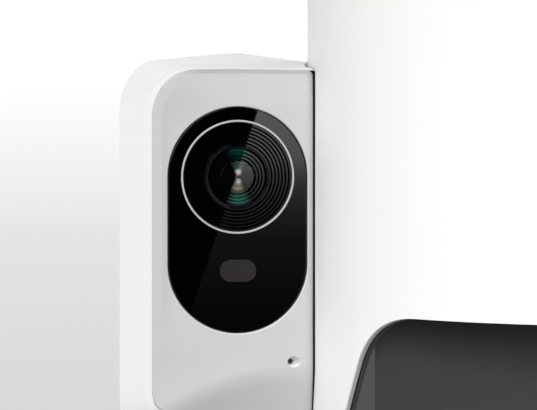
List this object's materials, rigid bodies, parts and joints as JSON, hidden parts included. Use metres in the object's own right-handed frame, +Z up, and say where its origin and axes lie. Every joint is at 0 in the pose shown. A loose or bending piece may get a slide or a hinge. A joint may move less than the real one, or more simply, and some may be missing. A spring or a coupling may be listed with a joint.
{
  "type": "pet feeder with camera",
  "caption": "Round white countertop pet feeder with a side camera pod, lift-out hopper under a hinged lid, metering rotor, food chute and a removable bowl in a dark alcove.",
  "frame": {"origin": "on the tower's axis, on the surface that the feet stand on", "axes": "+Z up along the tower's axis, -Y towards the front with the bowl and the mouth, -X towards the camera pod"},
  "size_m": [0.2131, 0.2255, 0.3468],
  "materials": {
    "shell_white": "satin moulded white",
    "inner_white": "plain moulded white",
    "button_white": "satin moulded white",
    "button_grey": "fine matte grey",
    "face_grey": "fine satin light grey",
    "charcoal": "fine grained charcoal",
    "drum_grey": "plain moulded dark grey",
    "trim_grey": "matte soft grey strip",
    "rubber_black": "matte black rubber",
    "steel": "plain steel",
    "bowl_steel": "spun brushed steel",
    "bronze": "turned",
    "nylon": "natural nylon",
    "silicone": "soft grey silicone",
    "motor_can": "plated steel can",
    "board_green": "circuit board",
    "part_black": "plain black",
    "light_pipe": "clear",
    "socket_metal": "plated shell",
    "cell_jacket": "printed-free sleeve",
    "window_black": "polished black",
    "ring_silver": "bright ring",
    "lens_glass": "clear cover",
    "lens_black": "ridged black",
    "lens_coated": "coated lens",
    "ir_dark": "dark filter",
    "bag_paper": "porous paper"
  },
  "bodies": {
    "tower": {"outer_shell": "shell_white", "mouth_trim": "trim_grey", "lower_chassis": "charcoal", "base_plate": "charcoal", "rubber_feet": "rubber_black", "base_screws": "steel", "bowl_tray": "charcoal", "metering_drum": "drum_grey", "drum_bush": "bronze", "outlet_baffle": "inner_white", "gear_motor": "motor_can", "motor_screws": "steel", "food_chute": "charcoal", "button_bracket": "drum_grey", "button_board": "board_green", "feed_switch": "part_black", "status_light": "light_pipe", "main_board": "board_green", "usb_socket": "socket_metal", "battery_holder": "drum_grey", "battery_cells": "cell_jacket", "battery_contacts": "steel", "speaker": "part_black", "speaker_gasket": "rubber_black", "pod_shell": "shell_white", "pod_face": "face_grey", "camera_window": "window_black", "lens_ring": "ring_silver", "lens_cover": "lens_glass", "lens_hood": "lens_black", "front_lens": "lens_coated", "lens_barrel": "lens_black", "image_sensor": "part_black", "camera_board": "board_green", "ir_window": "ir_dark", "ir_leds": "light_pipe", "ir_board": "board_green", "microphone": "socket_metal", "pod_gasket": "rubber_black", "pod_screws": "steel", "camera_lead": "rubber_black"},
    "bowl": {"food_bowl": "bowl_steel"},
    "rotor": {"food_rotor": "inner_white", "rotor_wipers": "silicone", "rotor_shaft": "steel", "rotor_gear": "nylon", "stirrer": "inner_white"},
    "pinion": {"motor_pinion": "bronze", "motor_shaft": "steel"},
    "feed_key": {"feed_button": "button_white"},
    "setup_key": {"setup_button": "button_grey"},
    "rear_door": {"battery_door": "shell_white"},
    "hopper_tank": {"hopper": "inner_white", "hinge_pin": "steel"},
    "top_lid": {"lid": "shell_white", "lid_seal": "silicone", "desiccant_box": "inner_white", "desiccant_bag": "bag_paper"},
    "release_key": {"lid_release": "button_grey"},
    "vent_cap": {"desiccant_cover": "inner_white"}
  },
  "joints": [
    {"name": "hopper_lift", "type": "slide", "parent": "tower", "child": "hopper_tank", "axis": [0, 0, 1], "range_m": [0, 0.16]},
    {"name": "lid_hinge", "type": "hinge", "parent": "hopper_tank", "child": "top_lid", "pos_m": [0, 0.0895, 0.337], "axis": [-1, 0, 0], "range_deg": [0, 100]},
    {"name": "lid_release_press", "type": "slide", "parent": "top_lid", "child": "release_key", "axis": [0, 1, 0], "range_m": [0, 0.0018], "stiffness_N_per_m": 900, "springref_m": -0.001},
    {"name": "desiccant_twist", "type": "hinge", "parent": "top_lid", "child": "vent_cap", "pos_m": [0, 0, 0.316], "axis": [0, 0, 1], "range_deg": [0, 40]},
    {"name": "rotor_spin", "type": "hinge", "parent": "tower", "child": "rotor", "pos_m": [0, 0, 0.15], "axis": [0, 0, 1], "continuous": true},
    {"name": "pinion_spin", "type": "hinge", "parent": "tower", "child": "pinion", "pos_m": [0, 0.03, 0.14], "axis": [0, 0, 1], "continuous": true},
    {"name": "bowl_lift", "type": "slide", "parent": "tower", "child": "bowl", "axis": [0, 0, 1], "range_m": [0, 0.045]},
    {"name": "feed_press", "type": "slide", "parent": "tower", "child": "feed_key", "axis": [0, 1, 0], "range_m": [0, 0.0012], "stiffness_N_per_m": 1500, "springref_m": -0.0008},
    {"name": "setup_press", "type": "slide", "parent": "tower", "child": "setup_key", "axis": [0, -1, 0], "range_m": [0, 0.001], "stiffness_N_per_m": 1200, "springref_m": -0.0008},
    {"name": "battery_door_pull", "type": "slide", "parent": "tower", "child": "rear_door", "axis": [0, 1, 0], "range_m": [0, 0.04]}
  ],
  "couplings": [
    {"joint": "pinion_spin", "follows": "rotor_spin", "ratio": -3}
  ]
}
